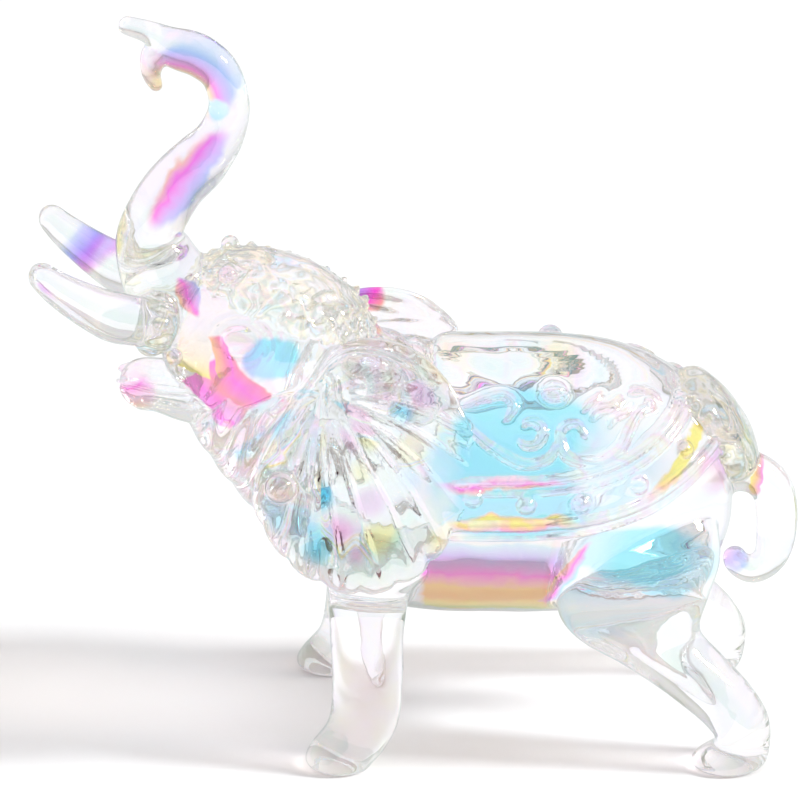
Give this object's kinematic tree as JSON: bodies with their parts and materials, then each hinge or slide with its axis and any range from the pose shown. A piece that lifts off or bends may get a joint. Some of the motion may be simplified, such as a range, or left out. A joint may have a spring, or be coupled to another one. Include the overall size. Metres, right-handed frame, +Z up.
{
  "type": "glass elephant figurine",
  "caption": "Free-standing clear crystal glass elephant with a raised trunk, fanned ears, saddle blanket and an iridescent finish.",
  "frame": {"origin": "middle of the figurine's bounding box in plan, on the surface that it stands on", "axes": "+Z up, the elephant faces -X, its left side is -Y"},
  "size_m": [0.1528, 0.0584, 0.1522],
  "materials": {
    "clear_glass": "fire-polished clear crystal",
    "iridescent_glass": "clear crystal with an iridescent coating",
    "textured_glass": "clear crystal with a pressed relief texture"
  },
  "bodies": {
    "root": {"body": "iridescent_glass", "neck": "clear_glass", "head": "iridescent_glass", "trunk": "iridescent_glass", "lower_jaw": "iridescent_glass", "trunk_lower_lip": "clear_glass", "headdress": "textured_glass", "left_tusk_collar": "textured_glass", "right_tusk_collar": "textured_glass", "left_tusk": "iridescent_glass", "right_tusk": "iridescent_glass", "left_tusk_bead": "clear_glass", "right_tusk_bead": "clear_glass", "left_eye": "clear_glass", "right_eye": "clear_glass", "left_crown_bead": "clear_glass", "right_crown_bead": "clear_glass", "left_ear": "iridescent_glass", "right_ear": "iridescent_glass", "left_ear_stud": "clear_glass", "right_ear_stud": "clear_glass", "tail_root": "textured_glass", "tail": "iridescent_glass", "saddle_blanket": "iridescent_glass", "left_front_leg": "clear_glass", "left_hind_leg": "clear_glass", "right_front_leg": "clear_glass", "right_hind_leg": "clear_glass", "left_inner_trim": "clear_glass", "right_inner_trim": "clear_glass", "left_outer_trim": "clear_glass", "right_outer_trim": "clear_glass", "left_front_scroll_stem": "clear_glass", "right_front_scroll_stem": "clear_glass", "left_front_scroll_leaf": "clear_glass", "right_front_scroll_leaf": "clear_glass", "left_front_scroll_curl": "clear_glass", "right_front_scroll_curl": "clear_glass", "left_rear_scroll": "clear_glass", "right_rear_scroll": "clear_glass", "left_rear_scroll_leaf": "clear_glass", "right_rear_scroll_leaf": "clear_glass", "left_saddle_bead": "clear_glass", "right_saddle_bead": "clear_glass", "left_border_bead_1": "clear_glass", "right_border_bead_1": "clear_glass", "left_border_bead_2": "clear_glass", "right_border_bead_2": "clear_glass", "left_border_bead_3": "clear_glass", "right_border_bead_3": "clear_glass", "left_border_bead_4": "clear_glass", "right_border_bead_4": "clear_glass", "left_border_bead_5": "clear_glass", "right_border_bead_5": "clear_glass"}
  },
  "joints": []
}
